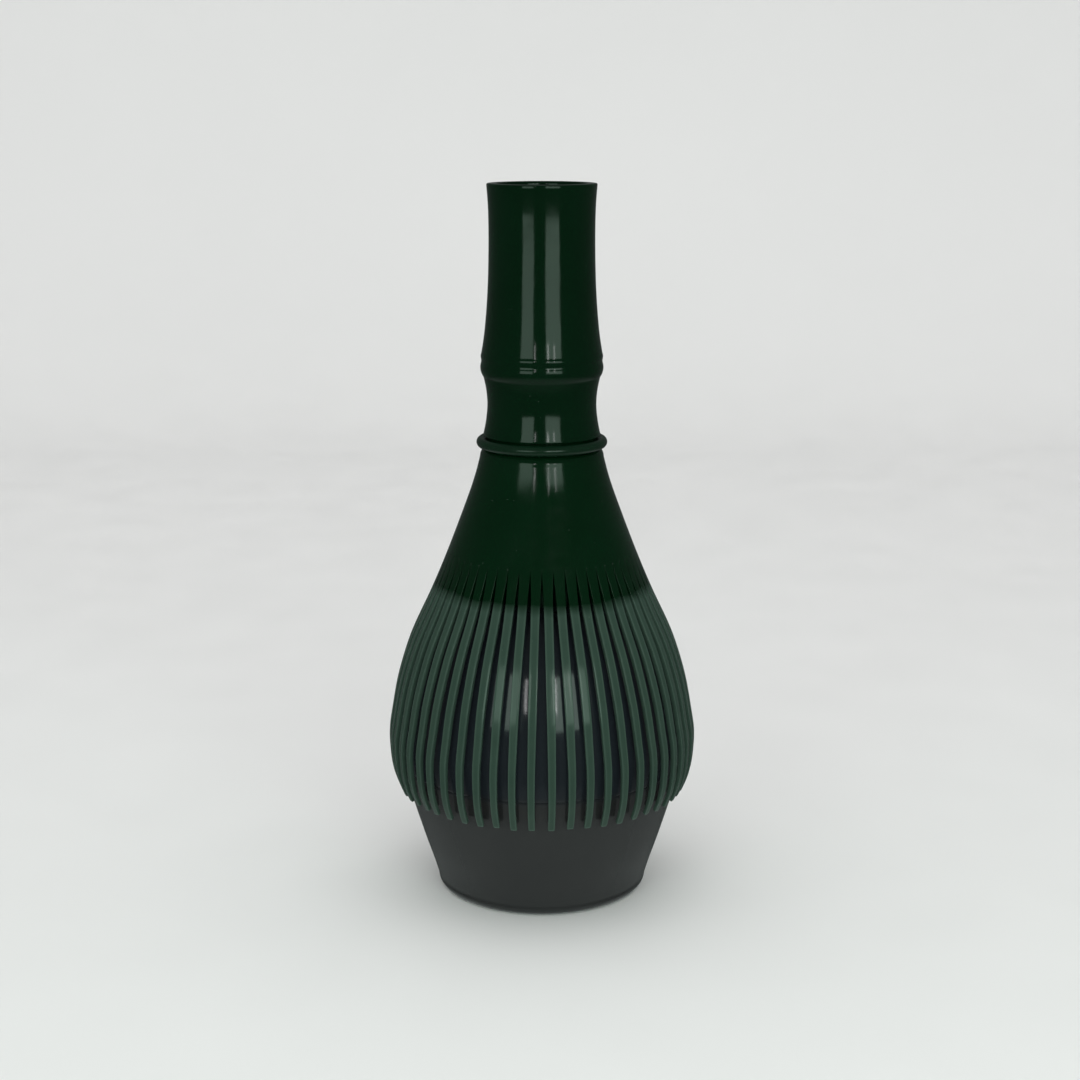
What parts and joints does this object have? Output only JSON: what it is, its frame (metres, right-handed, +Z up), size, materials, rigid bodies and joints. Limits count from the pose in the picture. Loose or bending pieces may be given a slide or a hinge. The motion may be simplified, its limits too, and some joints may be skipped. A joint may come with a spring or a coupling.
{
  "type": "tea whisk with stand",
  "caption": "Moulded tea whisk with slit outer tines draped over a glossy bulb-shaped whisk stand, with a bamboo-shaped hollow handle.",
  "frame": {"origin": "centre of the stand's foot, on the surface it stands on", "axes": "+Z up along the common axis of whisk and stand; the front slit between two tines faces -Y"},
  "size_m": [0.0674, 0.0674, 0.1546],
  "materials": {
    "green_gloss": "polished dark green moulded plastic",
    "ring_gloss": "polished dark green moulded plastic",
    "green_tines": "satin dark green moulded plastic",
    "stand_gloss": "polished blue-black moulded plastic"
  },
  "bodies": {
    "stand": {"stand_base": "stand_gloss", "stand_dome": "stand_gloss"},
    "whisk": {"handle": "green_gloss", "neck_ring": "ring_gloss", "outer_tines": "green_tines", "inner_tines": "green_tines"}
  },
  "joints": [
    {"name": "whisk_lift", "type": "slide", "parent": "stand", "child": "whisk", "axis": [0, 0, 1], "range_m": [0, 0.08], "deforming": ["outer_tines"]}
  ]
}
